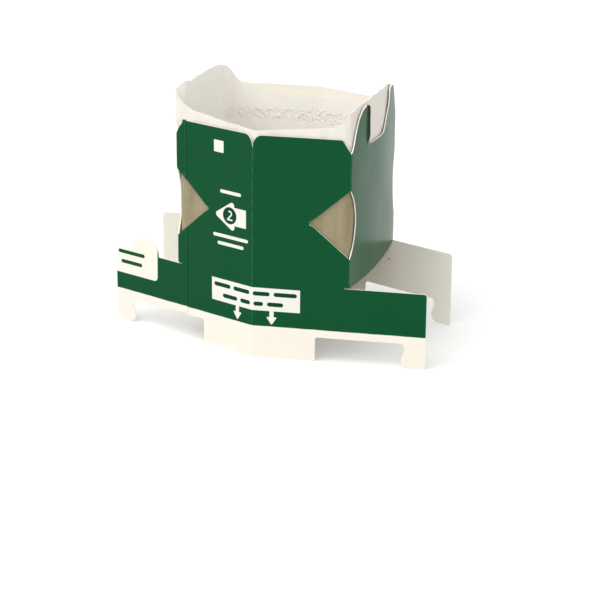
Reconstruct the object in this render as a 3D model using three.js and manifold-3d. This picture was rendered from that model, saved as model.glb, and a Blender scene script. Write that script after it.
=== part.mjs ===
// Drip coffee bag, opened and standing: a folded card holder with four hook legs
// and two tongues, a filter bag glued inside it, and the ground coffee.
// Millimetres, +Z up, the front looks to -Y. z = 0 is the top of the slots, where
// a cup rim sits. The card is racked a little, as an opened flat pack is.

import * as THREE from 'three';
import Module from 'manifold-3d';

const wasm = await Module();
wasm.setup();

// Plan of the card box
const halfFront = 34;            // crease to side fold, along a front or back half panel
const halfDepth = 37.5;          // middle of the box to the front or back crease
const rack = 4.2;                // how far the two creases are shifted sideways
const foldAngle = 13.7;          // degrees each half panel turns back from its crease
const sideBow = 2.1;             // how far the side panels bulge outwards
const bowSteps = 12;

// Heights
const legDrop = 8.7;             // legs and tongues below the slots
const stripHeight = 18.6;        // wings above the slots, up to the side panels
const boxHeight = 52.2;          // side panels' lower edge to the front and back top edge
const rimLevel = 0;
const legBottom = rimLevel - legDrop;
const wingTop = rimLevel + stripHeight;
const panelTop = wingTop + boxHeight;

// Thicknesses and clearances
const cardThickness = 0.4;
const clothThickness = 0.3;
const glueGap = 0.7;             // between the card and the cloth
const coffeeGap = 0.3;           // between the cloth and the coffee

// Wings, legs and slots, measured along the panel
const wingReach = 26.8;          // past the side fold
const wingCorner = 1.0;
const tongueShare = 0.653;       // half width of a tongue, as a share of a half panel
const slotRound = 1.0;
const legWidth = 7.5;
const legSwell = 0.8;            // how far the leg swells into the slot
const footRound = 0.3;
const wingEnd = halfFront + wingReach;
const tongueEdge = halfFront * tongueShare;

// The front left wing carries the glue flap, a second layer on the front left panel
const flapWidth = 4.1;
const flapWingReach = 29.6;
const flapLegWidth = 8.0;
const flapFootRound = 1.6;
const flapStep = 0.4;            // how far the flap's edges stand out past the panel's
const glueLap = 0.05;            // the flap's glue, joining the two layers
const flapEdge = halfFront - flapWidth;
const flapWingEnd = halfFront + flapWingReach;

// Tab on top of the front left wing
const tabFromFold = 9.2;
const tabLength = 12.5;
const tabHeight = 5.6;

// Windows across the side folds
const windowReach = 14.2;        // from the fold to the tip
const windowHalf = 12.2;         // half the window's height at the fold
const windowRise = 22.5;         // side panels' lower edge to the middle of the window
const windowBite = 5.0;          // depth of the curved part in the side panel
const windowRound = 1.2;
const windowMiddle = wingTop + windowRise;
const windowTop = windowMiddle + windowHalf;
const windowBottom = windowMiddle - windowHalf;
const windowTip = halfFront - windowReach;

// Top edge: cut corners and the notch at the front crease
const cornerWidth = 3.1;
const cornerDrop = 4.8;
const notchDepth = 4.6;
const notchHalfWidth = 3.3;
const cornerStart = halfFront - cornerWidth;
const cornerBottom = panelTop - cornerDrop;
const notchBottom = panelTop - notchDepth;

// Horns at the top of a side panel
const hornWidth = 14.7;
const hornRise = 14.0;
const hornTop = cornerBottom + hornRise;

// Filter bag and coffee
const bagLift = 2.2;             // bottom of the bag above the slots
const troughHeight = 25.8;       // over this height the bag widens from its bottom seam
const coffeeDepth = 14.6;        // bottom of the bag to the edge of the coffee
const coffeeMound = 1.6;
const coffeeSettle = 0.6;        // the coffee's narrow bottom stays clear of the seam
const bagBottom = rimLevel + bagLift;
const troughTop = bagBottom + troughHeight;

const radians = Math.PI / 180;

// ---- plan ----

function along(start, direction, distance) {
  return [start[0] + direction[0] * distance, start[1] + direction[1] * distance];
}

const leanX = Math.cos(foldAngle * radians);
const leanY = Math.sin(foldAngle * radians);
const frontCrease = [rack, -halfDepth];
const backCrease = [-rack, halfDepth];

// Each half panel runs from its crease to its side fold.
const panels = {
  frontRight: { origin: frontCrease, direction: [leanX, leanY], outside: 1 },
  frontLeft: { origin: frontCrease, direction: [-leanX, leanY], outside: -1 },
  backRight: { origin: backCrease, direction: [leanX, -leanY], outside: -1 },
  backLeft: { origin: backCrease, direction: [-leanX, -leanY], outside: 1 },
};

function foldOf(panel) {
  return along(panel.origin, panel.direction, halfFront);
}

// Points on a bulging side from one fold to the other, both ends included.
function bowed(from, to, bow, steps = bowSteps) {
  const length = Math.hypot(to[0] - from[0], to[1] - from[1]);
  const direction = [(to[0] - from[0]) / length, (to[1] - from[1]) / length];
  const outward = [direction[1], -direction[0]];
  const points = [];
  for (let i = 0; i <= steps; i += 1) {
    const q = i / steps;
    const onChord = along(from, direction, length * q);
    points.push(along(onChord, outward, bow * 4 * q * (1 - q)));
  }
  return points;
}

// The outline of the box seen from above, counter-clockwise, starting at the front crease.
function planOutline() {
  return [
    frontCrease,
    ...bowed(foldOf(panels.frontRight), foldOf(panels.backRight), sideBow),
    backCrease,
    ...bowed(foldOf(panels.backLeft), foldOf(panels.frontLeft), sideBow),
  ];
}

// Moves every edge of a counter-clockwise outline inwards by the same distance.
function inset(outline, distance) {
  const count = outline.length;
  return outline.map((point, i) => {
    const before = outline[(i + count - 1) % count];
    const after = outline[(i + 1) % count];
    const a = new THREE.Vector2(point[0] - before[0], point[1] - before[1]).normalize();
    const b = new THREE.Vector2(after[0] - point[0], after[1] - point[1]).normalize();
    const half = new THREE.Vector2(-a.y - b.y, a.x + b.x).normalize();
    const stretch = distance / (half.x * -a.y + half.y * a.x);
    return [point[0] + half.x * stretch, point[1] + half.y * stretch];
  });
}

// ---- solids ----

function signedArea(outline) {
  return THREE.ShapeUtils.area(outline.map(([x, y]) => new THREE.Vector2(x, y)));
}

// Extrudes an outline given in (u, v) along n, from near to far.
function slab(axes, outline, near, far) {
  const ring = signedArea(outline) < 0 ? [...outline].reverse() : outline;
  const count = ring.length;
  const faces = THREE.ShapeUtils.triangulateShape(ring.map(([u, v]) => new THREE.Vector2(u, v)), []);
  const positions = [];
  for (const level of [near, far]) {
    for (const [u, v] of ring) {
      const point = axes.origin.clone()
        .addScaledVector(axes.u, u)
        .addScaledVector(axes.v, v)
        .addScaledVector(axes.n, level);
      positions.push(point.x, point.y, point.z);
    }
  }
  const triangles = [];
  for (const [a, b, c] of faces) {
    triangles.push(c, b, a);
    triangles.push(a + count, b + count, c + count);
  }
  for (let i = 0; i < count; i += 1) {
    const j = (i + 1) % count;
    triangles.push(i, j, j + count);
    triangles.push(i, j + count, i + count);
  }
  return solidFrom(positions, triangles);
}

function solidFrom(positions, triangles) {
  const mesh = new wasm.Mesh({
    numProp: 3,
    vertProperties: new Float32Array(positions),
    triVerts: new Uint32Array(triangles),
  });
  return new wasm.Manifold(mesh);
}

const up = new THREE.Vector3(0, 0, 1);

function axesAt(origin, direction) {
  const u = new THREE.Vector3(direction[0], direction[1], 0);
  return {
    origin: new THREE.Vector3(origin[0], origin[1], 0),
    u,
    v: up,
    n: new THREE.Vector3().crossVectors(u, up),
  };
}

const planAxes = {
  origin: new THREE.Vector3(),
  u: new THREE.Vector3(1, 0, 0),
  v: new THREE.Vector3(0, 1, 0),
  n: up,
};

// A flat half panel of card: its outer face lies on the plan outline.
function panelPlate(panel, outline, thickness = cardThickness, lift = 0) {
  const axes = axesAt(panel.origin, panel.direction);
  if (panel.outside > 0) {
    return slab(axes, outline, -thickness + lift, lift);
  }
  return slab(axes, outline, -lift, thickness - lift);
}

// Points of a round corner at the given centre, from one angle to another in degrees.
function arc(u, v, radius, from, to, steps = 5) {
  const points = [];
  for (let i = 0; i <= steps; i += 1) {
    const angle = (from + (to - from) * i / steps) * radians;
    points.push([u + radius * Math.cos(angle), v + radius * Math.sin(angle)]);
  }
  return points;
}

// ---- card holder ----

// The leg from the slot down to its foot and up to the wing end. The slot side is a
// soft S: in at the top, swelling into the slot, and round at the foot.
const legCurve = [[0.25, 0.3], [-0.4, 0.46], [-1, 0.64], [-0.9, 0.8], [0, 0.93]];

function legOutline(inner, end, round) {
  return [
    ...arc(inner - slotRound, rimLevel - slotRound, slotRound, 90, 0, 4),
    ...legCurve.map(([swell, share]) => [inner + legSwell * swell, rimLevel - legDrop * share]),
    [inner + legSwell * 1.5, legBottom],
    ...arc(end - round, legBottom + round, round, 270, 360, 4),
  ];
}

// The window's half in a front or back panel, from its top corner down to its bottom one.
function windowOutline() {
  return [
    [halfFront, windowBottom],
    [windowTip + windowRound, windowMiddle - windowRound],
    [windowTip + windowRound * 0.25, windowMiddle - windowRound * 0.55],
    [windowTip, windowMiddle],
    [windowTip + windowRound * 0.25, windowMiddle + windowRound * 0.55],
    [windowTip + windowRound, windowMiddle + windowRound],
    [halfFront, windowTop],
  ];
}

// The notch side of the top edge: a round shoulder falling to the front crease.
function creaseNotch() {
  const points = [];
  for (let i = 0; i <= 6; i += 1) {
    const q = i / 6;
    const drop = 1 - Math.sqrt(1 - q * q);
    points.push([notchHalfWidth * (1 - q), panelTop - notchDepth * drop]);
  }
  return points;
}

// The tab's outline from its outer end, as shares of its length and height.
const tabCurve = [[0, 0], [0.03, 0.43], [0.13, 0.82], [0.35, 1], [0.58, 0.96], [0.81, 0.79], [0.96, 0.43], [1, 0]];
const tabEnd = halfFront + tabFromFold + tabLength;
const tabOutline = tabCurve.map(([u, z]) => [tabEnd - tabLength * u, wingTop + tabHeight * z]);

// From the slot along the leg and the wing to the side fold.
const wingOutline = [
  ...legOutline(wingEnd - legWidth, wingEnd, footRound),
  ...arc(wingEnd - wingCorner, wingTop - wingCorner, wingCorner, 0, 90, 3),
  [halfFront, wingTop],
];

function halfPanelOutline({ winged = true, notched = false }) {
  return [
    [0, legBottom],
    [tongueEdge, legBottom],
    ...arc(tongueEdge + slotRound, rimLevel - slotRound, slotRound, 180, 90, 4),
    ...(winged ? wingOutline : [[halfFront, rimLevel]]),
    ...windowOutline(),
    [halfFront, cornerBottom],
    [cornerStart, panelTop],
    ...(notched ? creaseNotch() : [[0, panelTop]]),
  ];
}

// The glue flap lies on the front left panel in two pieces, below and above its
// window. The front left wing is cut from the lower one.
const flapSlope = flapWidth * windowHalf / windowReach;

const lowerFlapOutline = [
  [flapEdge, rimLevel + flapStep],
  ...legOutline(flapWingEnd - flapLegWidth, flapWingEnd, flapFootRound),
  [flapWingEnd, wingTop],
  ...tabOutline,
  [halfFront, wingTop],
  [halfFront, windowBottom],
  [flapEdge, windowBottom + flapSlope],
];

const upperFlapOutline = [
  [flapEdge, windowTop - flapSlope],
  [halfFront, windowTop],
  [halfFront, cornerBottom],
  [cornerStart, panelTop + flapStep],
  [flapEdge, panelTop + flapStep],
];

// The horns from their fold to the notch between them, as shares of hornWidth along
// the panel and of hornRise above the cut corner. The back one leans more.
const frontHorn = [
  [0, 0], [0.13, 0.14], [0.28, 0.49], [0.46, 0.77], [0.65, 0.93], [0.86, 0.99], [0.95, 1],
  [1, 0.91], [1.01, 0.5], [1.05, 0.09], [1.17, 0], [1.41, -0.035],
];
const backHorn = [
  [0, 0], [0.21, 0.33], [0.41, 0.66], [0.57, 0.89], [0.65, 0.93], [0.97, 0.93], [1.03, 0.87],
  [1.1, 0.57], [1.39, 0.29], [1.55, 0.09], [1.71, -0.03], [1.95, -0.057],
];

// The bulging side panel: window bites at both folds, two horns, a notch between them.
function sideOutline(length) {
  const radius = (windowHalf * windowHalf + windowBite * windowBite) / (2 * windowBite);
  const spread = Math.asin(windowHalf / radius) / radians;
  const biteAtFront = arc(windowBite - radius, windowMiddle, radius, spread, -spread, 10);
  const biteAtBack = biteAtFront.map(([s, z]) => [length - s, z]).reverse();
  const front = frontHorn.map(([s, z]) => [hornWidth * s, cornerBottom + hornRise * z]);
  const back = backHorn.map(([s, z]) => [length - hornWidth * s, cornerBottom + hornRise * z]);
  return [
    [0, wingTop],
    [length, wingTop],
    ...biteAtBack,
    ...back,
    ...front.reverse(),
    ...biteAtFront,
  ];
}

// Mirrors the outline when the front fold is the far end of the chord.
function sidePanel(from, to, frontFirst) {
  const length = Math.hypot(to[0] - from[0], to[1] - from[1]);
  const direction = [(to[0] - from[0]) / length, (to[1] - from[1]) / length];
  const outer = bowed(from, to, sideBow);
  const inner = bowed(from, to, sideBow).map(
    (point) => along(point, [-direction[1], direction[0]], cardThickness),
  );
  const bent = slab(planAxes, [...outer, ...inner.reverse()], wingTop, hornTop);
  const outline = sideOutline(length).map(([s, z]) => [frontFirst ? s : length - s, z]);
  return bent.intersect(slab(axesAt(from, direction), outline, -8, 8));
}

function makeHolder() {
  const lap = { thickness: cardThickness + glueLap, lift: cardThickness };
  const plates = [
    panelPlate(panels.frontRight, halfPanelOutline({ notched: true })),
    panelPlate(panels.frontLeft, halfPanelOutline({ notched: true, winged: false })),
    panelPlate(panels.backRight, halfPanelOutline({})),
    panelPlate(panels.backLeft, halfPanelOutline({})),
    sidePanel(foldOf(panels.frontRight), foldOf(panels.backRight), true),
    sidePanel(foldOf(panels.backLeft), foldOf(panels.frontLeft), false),
    panelPlate(panels.frontLeft, lowerFlapOutline, lap.thickness, lap.lift),
    panelPlate(panels.frontLeft, upperFlapOutline, lap.thickness, lap.lift),
  ];
  return plates.reduce((card, plate) => card.add(plate));
}

// ---- filter bag and coffee ----

// How wide the bag is, as a share of the box, at shares of the trough's height.
const troughCurve = [[0, 0.1], [0.04, 0.2], [0.15, 0.34], [0.3, 0.5], [0.53, 0.7], [0.77, 0.87], [1, 1]];

function readCurve(curve, q) {
  const next = Math.max(1, curve.findIndex(([at]) => at >= q));
  const [q0, h0] = curve[next - 1];
  const [q1, h1] = curve[next];
  return h0 + (h1 - h0) * (q - q0) / (q1 - q0);
}

function troughWidth(z) {
  const share = (z - bagBottom) / troughHeight;
  return readCurve(troughCurve, Math.min(1, Math.max(0, share)));
}

// The plan outline narrowed towards the line between the creases, then moved inwards.
function bagSection(z, distance) {
  const width = troughWidth(z);
  const narrowed = planOutline().map(([x, y]) => {
    const middle = -rack * y / halfDepth;
    return [middle + (x - middle) * width, y];
  });
  return inset(narrowed, distance);
}

// Height of the torn top edge above the panels, as shares of hornRise. Each curve runs
// along one panel: front crease to fold, front fold to back fold, back fold to crease.
const frontEdge = [[0, 0.08], [0.5, 0.19], [0.82, 0.27], [0.92, 0.41], [1, 0.6]];
const sideEdge = [[0, 0.6], [0.1, 0.7], [0.5, 0.71], [0.78, 0.66], [0.9, 0.51], [1, 0.24]];
const backEdge = [[0, 0.24], [0.15, -0.03], [0.45, -0.23], [1, -0.3]];

// Splits the straight edges of the box so that the torn edge can rise and fall along them.
function refined(section) {
  const splits = 6;
  const side = bowSteps + 1;
  const points = [];
  const heights = [];
  const addStraight = (from, to, curve, backwards) => {
    for (let i = 0; i < splits; i += 1) {
      const q = i / splits;
      points.push([from[0] + (to[0] - from[0]) * q, from[1] + (to[1] - from[1]) * q]);
      heights.push(panelTop + hornRise * readCurve(curve, backwards ? 1 - q : q));
    }
  };
  const addSide = (start, backwards) => {
    for (let i = 0; i < bowSteps; i += 1) {
      const q = i / bowSteps;
      points.push(section[start + i]);
      heights.push(panelTop + hornRise * readCurve(sideEdge, backwards ? 1 - q : q));
    }
  };
  const back = 1 + side;
  addStraight(section[0], section[1], frontEdge, false);
  addSide(1, false);
  addStraight(section[side], section[back], backEdge, false);
  addStraight(section[back], section[back + 1], backEdge, true);
  addSide(back + 1, true);
  addStraight(section[back + side], section[0], frontEdge, true);
  return { points, heights };
}

// Joins rings of equal count into a skin; the last ring is left open.
function skin(rings, flipped) {
  const positions = [];
  const triangles = [];
  const count = rings[0].length;
  for (const ring of rings) {
    for (const point of ring) {
      positions.push(...point);
    }
  }
  const face = (a, b, c) => (flipped ? triangles.push(a, c, b) : triangles.push(a, b, c));
  for (let r = 0; r + 1 < rings.length; r += 1) {
    for (let i = 0; i < count; i += 1) {
      const j = (i + 1) % count;
      const low = r * count;
      const high = low + count;
      face(low + i, low + j, high + j);
      face(low + i, high + j, high + i);
    }
  }
  return { positions, triangles, count, face };
}

function capped(part, ringStart, point, facingDown) {
  const centre = part.positions.length / 3;
  part.positions.push(...point);
  for (let i = 0; i < part.count; i += 1) {
    const a = ringStart + i;
    const b = ringStart + (i + 1) % part.count;
    if (facingDown) {
      part.face(b, a, centre);
    } else {
      part.face(a, b, centre);
    }
  }
}

const bagLevels = [0, 0.03, 0.085, 0.18, 0.31, 0.54, 0.78, 1];

// Rings of one face of the bag, from its bottom up to the torn edge.
function bagRings(distance, bottom, lower) {
  const rings = bagLevels.map((rise) => {
    const z = bottom + rise * (troughTop - bottom);
    return refined(bagSection(z - lower, distance)).points.map(([x, y]) => [x, y, z]);
  });
  const top = refined(bagSection(troughTop, distance));
  for (const share of [0.5, 1]) {
    rings.push(top.points.map(([x, y], i) => [x, y, troughTop + (top.heights[i] - troughTop) * share]));
  }
  return rings;
}

function makeFilterBag() {
  const outside = cardThickness + glueGap;
  const outer = skin(bagRings(outside, bagBottom, 0), false);
  capped(outer, 0, [0, 0, bagBottom], true);
  const floor = bagBottom + clothThickness;
  const inner = skin(bagRings(outside + clothThickness, floor, clothThickness), true);
  capped(inner, 0, [0, 0, floor], true);

  const shift = outer.positions.length / 3;
  const positions = [...outer.positions, ...inner.positions];
  const triangles = [...outer.triangles, ...inner.triangles.map((index) => index + shift)];
  const rim = outer.count * (bagLevels.length + 1);
  for (let i = 0; i < outer.count; i += 1) {
    const j = (i + 1) % outer.count;
    triangles.push(rim + i, rim + j, shift + rim + j);
    triangles.push(rim + i, shift + rim + j, shift + rim + i);
  }
  return solidFrom(positions, triangles);
}

function makeCoffee() {
  const distance = cardThickness + glueGap + clothThickness + coffeeGap;
  const floor = bagBottom + clothThickness + coffeeGap + coffeeSettle;
  const edgeLevel = bagBottom + coffeeDepth;
  const rings = [0, 0.09, 0.26, 0.49, 0.7, 0.87, 1].map((share) => {
    const z = floor + (edgeLevel - floor) * share;
    const section = bagSection(z - clothThickness - coffeeGap, distance);
    return refined(section).points.map(([x, y]) => [x, y, z]);
  });
  const edge = rings[rings.length - 1];
  for (const share of [0.7, 0.35]) {
    const rise = coffeeMound * (1 - share * share);
    rings.push(edge.map(([x, y]) => [x * share, y * share, edgeLevel + rise]));
  }
  const bed = skin(rings, false);
  capped(bed, 0, [0, 0, floor], true);
  capped(bed, bed.count * (rings.length - 1), [0, 0, edgeLevel + coffeeMound], false);
  return solidFrom(bed.positions, bed.triangles);
}

// ---- scene ----

function toGeometry(solid) {
  const mesh = solid.getMesh();
  const stride = mesh.numProp;
  const positions = [];
  for (let i = 0; i < mesh.vertProperties.length; i += stride) {
    positions.push(mesh.vertProperties[i], mesh.vertProperties[i + 1], mesh.vertProperties[i + 2]);
  }
  const geometry = new THREE.BufferGeometry();
  geometry.setAttribute('position', new THREE.Float32BufferAttribute(positions, 3));
  geometry.setIndex([...mesh.triVerts]);
  geometry.computeVertexNormals();
  return geometry;
}

function named(name, solid, color, roughness) {
  const material = new THREE.MeshStandardMaterial({ name, color, roughness, side: THREE.DoubleSide });
  const mesh = new THREE.Mesh(toGeometry(solid), material);
  mesh.name = name;
  return mesh;
}

const group = new THREE.Group();
group.name = 'drip_coffee_bag';
group.add(named('holder', makeHolder(), 0x175e3c, 0.45));
group.add(named('filter_bag', makeFilterBag(), 0xe8e4da, 0.95));
group.add(named('ground_coffee', makeCoffee(), 0x3a2417, 1.0));

export default group;
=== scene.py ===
import math

import bpy
import numpy as np
from mathutils import Matrix, Vector
from mathutils.geometry import delaunay_2d_cdt


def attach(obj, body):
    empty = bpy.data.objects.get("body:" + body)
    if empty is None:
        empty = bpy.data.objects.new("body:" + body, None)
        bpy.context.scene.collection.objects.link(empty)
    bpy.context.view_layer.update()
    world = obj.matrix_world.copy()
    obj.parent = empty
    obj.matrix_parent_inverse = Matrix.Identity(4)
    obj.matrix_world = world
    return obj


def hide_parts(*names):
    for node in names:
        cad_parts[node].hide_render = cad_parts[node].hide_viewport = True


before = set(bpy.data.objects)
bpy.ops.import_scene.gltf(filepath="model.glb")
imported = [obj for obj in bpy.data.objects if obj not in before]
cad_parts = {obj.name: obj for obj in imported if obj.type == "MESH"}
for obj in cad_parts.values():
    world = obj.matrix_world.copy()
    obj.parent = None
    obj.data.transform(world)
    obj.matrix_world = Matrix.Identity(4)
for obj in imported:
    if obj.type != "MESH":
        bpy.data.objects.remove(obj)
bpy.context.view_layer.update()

# Lengths below are millimetres in the part's frame; meshes are made in metres.
MM = 0.001
rng = np.random.default_rng(17)

# Plan of the box
HALF_FRONT = 34.0
HALF_DEPTH = 37.5
RACK = 4.2
LEAN = math.radians(13.7)
SIDE_BOW = 2.1

# Heights and thickness of the card
LEG_DROP = 8.7
WING_TOP = 18.6
PANEL_TOP = 70.8
CARD = 0.4

# Wings, legs and slots
WING_END = 60.8
TONGUE_EDGE = 22.2
SLOT_ROUND = 1.0
LEG_WIDTH = 7.5
FOOT_ROUND = 0.3
WING_ROUND = 1.0
SLIT_START = 32.3
SLIT = 0.2

# Glue flap with its own wing, pressed into the glue but proud of the panel under it
FLAP_EDGE = 29.9
FLAP_WING_END = 63.6
FLAP_LEG_WIDTH = 8.0
FLAP_FOOT_ROUND = 1.6
FLAP_LIFT = 0.24
FLAP_STEP = 0.4
PANEL_END = 33.3

# Tab on the flap's wing, cut out of the side panel above it
TAB_START, TAB_LENGTH, TAB_HEIGHT = 43.2, 12.5, 5.6
TAB_GAP = 0.3

# Windows, top edge and horns
WINDOW_REACH, WINDOW_HALF, WINDOW_MIDDLE, WINDOW_BITE = 14.2, 12.2, 41.1, 5.0
CORNER_WIDTH = 3.1
HORN_BASE = 66.0
NOTCH_DEPTH, NOTCH_HALF = 4.6, 3.3
HORN_WIDTH, HORN_RISE = 14.7, 14.0
HORN_TOP = HORN_BASE + HORN_RISE

# The right front horn's edge at the notch, curled outwards
CURL_START = HALF_FRONT + HORN_WIDTH - 1.5
CURL_END = HALF_FRONT + HORN_WIDTH + 0.4
CURL = 0.8

# Mesh of the blank: spacing on its cut edges and of its grid, in millimetres
RIM_STEP = 1.2
CUT_SAMPLE = 0.4
COLUMN_STEP, ROW_STEP, CURL_STEP = 1.6, 1.7, 0.35
FOLD_REACH, FOLD_STEP = 1.2, 0.2
GRID_CLEAR = 0.35
CUT_REACH = 5

# Filter bag and coffee
BAG_INSET = 0.85
CLOTH = 0.25
BAG_BOTTOM = 2.2
TROUGH_HEIGHT = 25.8
TROUGH_TOP = BAG_BOTTOM + TROUGH_HEIGHT
BAG_COLUMNS = 480
CORNER_TUCK = 0.4
SPREAD, SPREAD_REACH = 2.4, 4
CORNER_RISE, CORNER_RISE_AT, CORNER_RISE_REACH = 0.16, 6, 6
FRAY = 0.2
COFFEE_INSET = 1.75
COFFEE_BOTTOM = 3.4
COFFEE_EDGE = 16.8
COFFEE_MOUND = 1.6
COFFEE_COLUMNS = 300
GRAINS = 5200
GRAIN_SMALL, GRAIN_LARGE = 0.22, 0.75


# Lines in plan

def rolling_mean(values, width, closed):
    """Mean of each sample and its neighbours within the width, which rounds off corners."""
    half = max(1, int(round(width / 2)))
    if closed:
        padded = np.pad(values, half, mode="wrap")
    else:
        padded = np.pad(values, half, mode="reflect", reflect_type="odd")
    return np.convolve(padded, np.full(2 * half + 1, 1 / (2 * half + 1)), mode="valid")


class PlanLine:
    """A line in plan read by the distance s along it, with the outward normal on its right."""

    STEP = 0.1

    def __init__(self, points, start, closed, corner=0.9):
        points = np.asarray(points, float)
        run = np.concatenate([[0], np.cumsum(np.hypot(*np.diff(points, axis=0).T))])
        self.length = run[-1]
        self.start = start
        self.period = self.length if closed else None
        count = int(round(self.length / self.STEP))
        self.at = np.linspace(0, self.length, count, endpoint=not closed)
        width = corner / self.STEP
        self.x = rolling_mean(np.interp(self.at, run, points[:, 0]), width, closed)
        self.y = rolling_mean(np.interp(self.at, run, points[:, 1]), width, closed)
        if closed:
            tangent = np.stack([np.roll(self.x, -1) - np.roll(self.x, 1),
                                np.roll(self.y, -1) - np.roll(self.y, 1)])
        else:
            tangent = np.stack([np.gradient(self.x), np.gradient(self.y)])
        self.tx, self.ty = tangent / np.hypot(*tangent)

    def read(self, s):
        """Positions and outward unit normals at the distances s."""
        s = np.asarray(s, float) - self.start
        x, y, tx, ty = (np.interp(s, self.at, column, period=self.period)
                        for column in (self.x, self.y, self.tx, self.ty))
        size = np.hypot(tx, ty)
        return np.stack([x, y], -1), np.stack([ty / size, -tx / size], -1)


FRONT = np.array([RACK, -HALF_DEPTH])
BACK = -FRONT
TO_RIGHT = np.array([math.cos(LEAN), math.sin(LEAN)])
TO_LEFT = np.array([-math.cos(LEAN), math.sin(LEAN)])
FOLD_FRONT_RIGHT = FRONT + HALF_FRONT * TO_RIGHT
FOLD_FRONT_LEFT = FRONT + HALF_FRONT * TO_LEFT


def bowed_side(start, end):
    """The chord from start to end, pushed out by a parabola of height SIDE_BOW."""
    share = np.linspace(0, 1, 241)[:, None]
    chord = end - start
    outward = np.array([chord[1], -chord[0]]) / np.linalg.norm(chord)
    return start + chord * share + outward * SIDE_BOW * 4 * share * (1 - share)


PLAN = np.vstack([
    FRONT, bowed_side(FOLD_FRONT_RIGHT, -FOLD_FRONT_LEFT),
    BACK, bowed_side(-FOLD_FRONT_RIGHT, FOLD_FRONT_LEFT), FRONT,
])
BOX_LINE = PlanLine(PLAN, 0, True)
BAG_LINE = PlanLine(PLAN, 0, True, corner=5.0)
ROUND = BOX_LINE.length
HALF_ROUND = ROUND / 2
SIDE = HALF_ROUND - 2 * HALF_FRONT
REACH = 80.0
FRONT_LINE = PlanLine([FRONT + REACH * TO_LEFT, FRONT, FRONT + REACH * TO_RIGHT], -REACH, False)
BACK_LINE = PlanLine([BACK - REACH * TO_LEFT, BACK, BACK - REACH * TO_RIGHT], HALF_ROUND - REACH, False)
FOLDS = [HALF_FRONT, HALF_ROUND - HALF_FRONT, HALF_ROUND + HALF_FRONT, ROUND - HALF_FRONT]


def soft_step(value, low, high):
    """0 below low, 1 above high, and the cubic 3q^2 - 2q^3 between."""
    share = np.clip((value - low) / (high - low), 0, 1)
    return share * share * (3 - 2 * share)


# Outlines of the die-cut blank, in (distance round the box, height)

def arc(s, z, radius, start, end, steps=8):
    """Points on a circle round (s, z), with the angles in degrees."""
    angle = np.radians(np.linspace(start, end, steps))
    return np.stack([s + radius * np.cos(angle), z + radius * np.sin(angle)], -1)


def curve_through(points, steps=6):
    """Catmull-Rom curve: each span is a cubic whose end slopes follow its neighbours."""
    p = np.asarray(points, float)
    a = np.vstack([2 * p[:1] - p[1:2], p[:-2]])[:, None]
    b, c = p[:-1, None], p[1:, None]
    d = np.vstack([p[2:], 2 * p[-1:] - p[-2:-1]])[:, None]
    q = np.linspace(0, 1, steps, endpoint=False)[None, :, None]
    spans = (2 * b + (c - a) * q + (2 * a - 5 * b + 4 * c - d) * q ** 2
             + (3 * b - a - 3 * c + d) * q ** 3) / 2
    return np.vstack([spans.reshape(-1, 2), p[-1:]])


def shifted(points, s):
    """The outline moved along the card."""
    return np.asarray(points, float) + [s, 0]


def turned(points):
    """The outline mirrored in s = 0 and read the other way, so that it still runs anticlockwise."""
    return np.asarray(points, float)[::-1] * [-1, 1]


def leg(inner, end, foot_round):
    """From the slot's top down the leg's soft S to its foot and outer edge."""
    return np.vstack([
        arc(inner - SLOT_ROUND, -SLOT_ROUND, SLOT_ROUND, 90, 0),
        curve_through([
            [inner, -SLOT_ROUND - 0.2], [inner + 0.2, -2.6], [inner - 0.3, -4.0], [inner - 0.8, -5.5],
            [inner - 0.7, -7.0], [inner + 0.05, -8.1], [inner + 1.4, -LEG_DROP],
        ]),
        arc(end - foot_round, -LEG_DROP + foot_round, foot_round, 270, 360),
    ])


def tab(grow, base):
    """The tab's hump above the wing, grown on all sides; it runs towards smaller s."""
    shares = np.array([
        [1, 0], [0.96, 0.43], [0.81, 0.79], [0.58, 0.96], [0.35, 1], [0.13, 0.82], [0.03, 0.43], [0, 0],
    ])
    size = [TAB_LENGTH + 2 * grow, WING_TOP + TAB_HEIGHT + grow - base]
    return curve_through(shares * size + [ROUND - TAB_START - TAB_LENGTH - grow, base])


def half_strip():
    """Right half of a strip under the box: tongue, slot, leg, wing and the slit above the wing."""
    return np.vstack([
        [[0, -LEG_DROP], [TONGUE_EDGE, -LEG_DROP]],
        arc(TONGUE_EDGE + SLOT_ROUND, -SLOT_ROUND, SLOT_ROUND, 180, 90),
        leg(WING_END - LEG_WIDTH, WING_END, FOOT_ROUND),
        arc(WING_END - WING_ROUND, WING_TOP - SLIT - WING_ROUND, WING_ROUND, 0, 90),
        [[SLIT_START, WING_TOP - SLIT], [SLIT_START, WING_TOP]],
    ])


def window_tip():
    """The window's pointed part, from the fold's upper corner by the tip to the lower one."""
    return np.vstack([
        [[0, WINDOW_MIDDLE + WINDOW_HALF]],
        curve_through([
            [1.4 - WINDOW_REACH, WINDOW_MIDDLE + 1.2], [0.35 - WINDOW_REACH, WINDOW_MIDDLE + 0.65],
            [-WINDOW_REACH, WINDOW_MIDDLE], [0.35 - WINDOW_REACH, WINDOW_MIDDLE - 0.65],
            [1.4 - WINDOW_REACH, WINDOW_MIDDLE - 1.2],
        ], 3),
        [[0, WINDOW_MIDDLE - WINDOW_HALF]],
    ])


def window_bite():
    """The window's arc in a side panel, from the fold's lower corner to its upper one."""
    radius = (WINDOW_HALF ** 2 + WINDOW_BITE ** 2) / (2 * WINDOW_BITE)
    spread = math.degrees(math.asin(WINDOW_HALF / radius))
    return arc(WINDOW_BITE - radius, WINDOW_MIDDLE, radius, -spread, spread, 24)


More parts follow.
